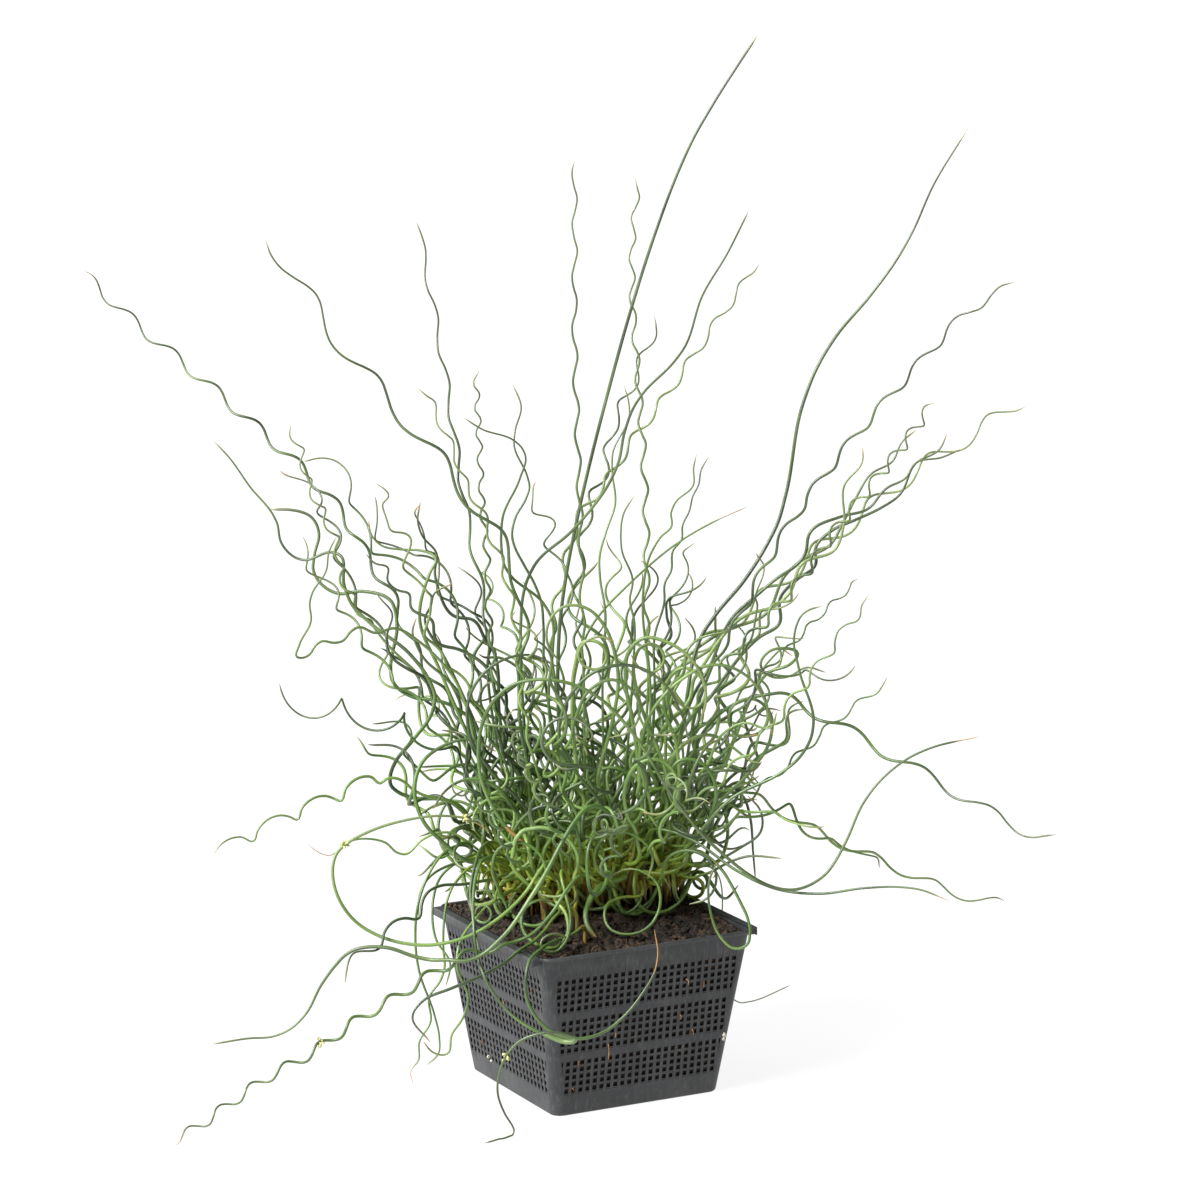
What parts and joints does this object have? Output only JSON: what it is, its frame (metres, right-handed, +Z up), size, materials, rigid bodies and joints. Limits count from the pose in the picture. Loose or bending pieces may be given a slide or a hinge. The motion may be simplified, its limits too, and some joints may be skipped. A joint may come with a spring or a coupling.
{
  "type": "potted corkscrew rush",
  "caption": "Corkscrew rush: coiled, wavy and looping green culms rising and trailing from a mound of peat in a square perforated pond basket.",
  "frame": {"origin": "middle of the basket's underside, on the surface it stands on", "axes": "+Z up along the culms; X and Y along the basket's walls, with its two carrying grips on the X walls; the side that is seen first faces -Y, turned 28 degrees towards -X"},
  "size_m": [0.6604, 0.5287, 0.7426],
  "materials": {
    "basket_plastic": "anthracite moulded polypropylene, dusty and scuffed",
    "peat_soil": "moist crumbly peat with fibres",
    "rush_culm": "fresh waxy green stem with faint lengthwise stripes, tan where it has died back"
  },
  "bodies": {
    "root": {"basket": "basket_plastic", "soil": "peat_soil", "culm_back_reach_far_left": "rush_culm", "culm_back_reach_far_right": "rush_culm", "culm_back_reach_left": "rush_culm", "culm_back_reach_middle": "rush_culm", "culm_back_reach_right": "rush_culm", "culm_back_trailing": "rush_culm", "culm_centre_curled": "rush_culm", "culm_centre_hooked": "rush_culm", "culm_centre_right_wavy": "rush_culm", "culm_centre_s_bend": "rush_culm", "culm_centre_thin": "rush_culm", "culm_centre_wavy": "rush_culm", "culm_front_crossing": "rush_culm", "culm_front_left_trail": "rush_culm", "culm_front_reach_left": "rush_culm", "culm_front_reach_middle": "rush_culm", "culm_front_reach_right": "rush_culm", "culm_front_reach_side": "rush_culm", "culm_front_ring": "rush_culm", "culm_front_thick_trail": "rush_culm", "culm_front_trailing": "rush_culm", "culm_left_big_coil": "rush_culm", "culm_left_blunt_arc": "rush_culm", "culm_left_far_wavy": "rush_culm", "culm_left_fine_wave": "rush_culm", "culm_left_hanging": "rush_culm", "culm_left_hanging_hook": "rush_culm", "culm_left_high_wavy": "rush_culm", "culm_left_kinked": "rush_culm", "culm_left_long_wave": "rush_culm", "culm_left_low_loop": "rush_culm", "culm_left_low_wave": "rush_culm", "culm_left_mid_thin": "rush_culm", "culm_left_s_bend": "rush_culm", "culm_left_scalloped": "rush_culm", "culm_left_stepped": "rush_culm", "culm_left_thick": "rush_culm", "culm_right_far_stepped": "rush_culm", "culm_right_far_wavy": "rush_culm", "culm_right_hanging_loop": "rush_culm", "culm_right_lean": "rush_culm", "culm_right_loop": "rush_culm", "culm_right_low_coil": "rush_culm", "culm_right_low_sweep": "rush_culm", "culm_right_low_wavy": "rush_culm", "culm_right_mid_coil": "rush_culm", "culm_right_mid_thin": "rush_culm", "culm_right_small_coil": "rush_culm", "culm_right_stepped": "rush_culm", "culm_right_tall_arc": "rush_culm", "culm_right_tight_coil": "rush_culm", "culm_right_zigzag": "rush_culm", "culm_right_zigzag_back": "rush_culm", "culm_soil_ring": "rush_culm", "culm_tall_straight": "rush_culm", "culm_tan_tip": "rush_culm"}
  },
  "joints": []
}
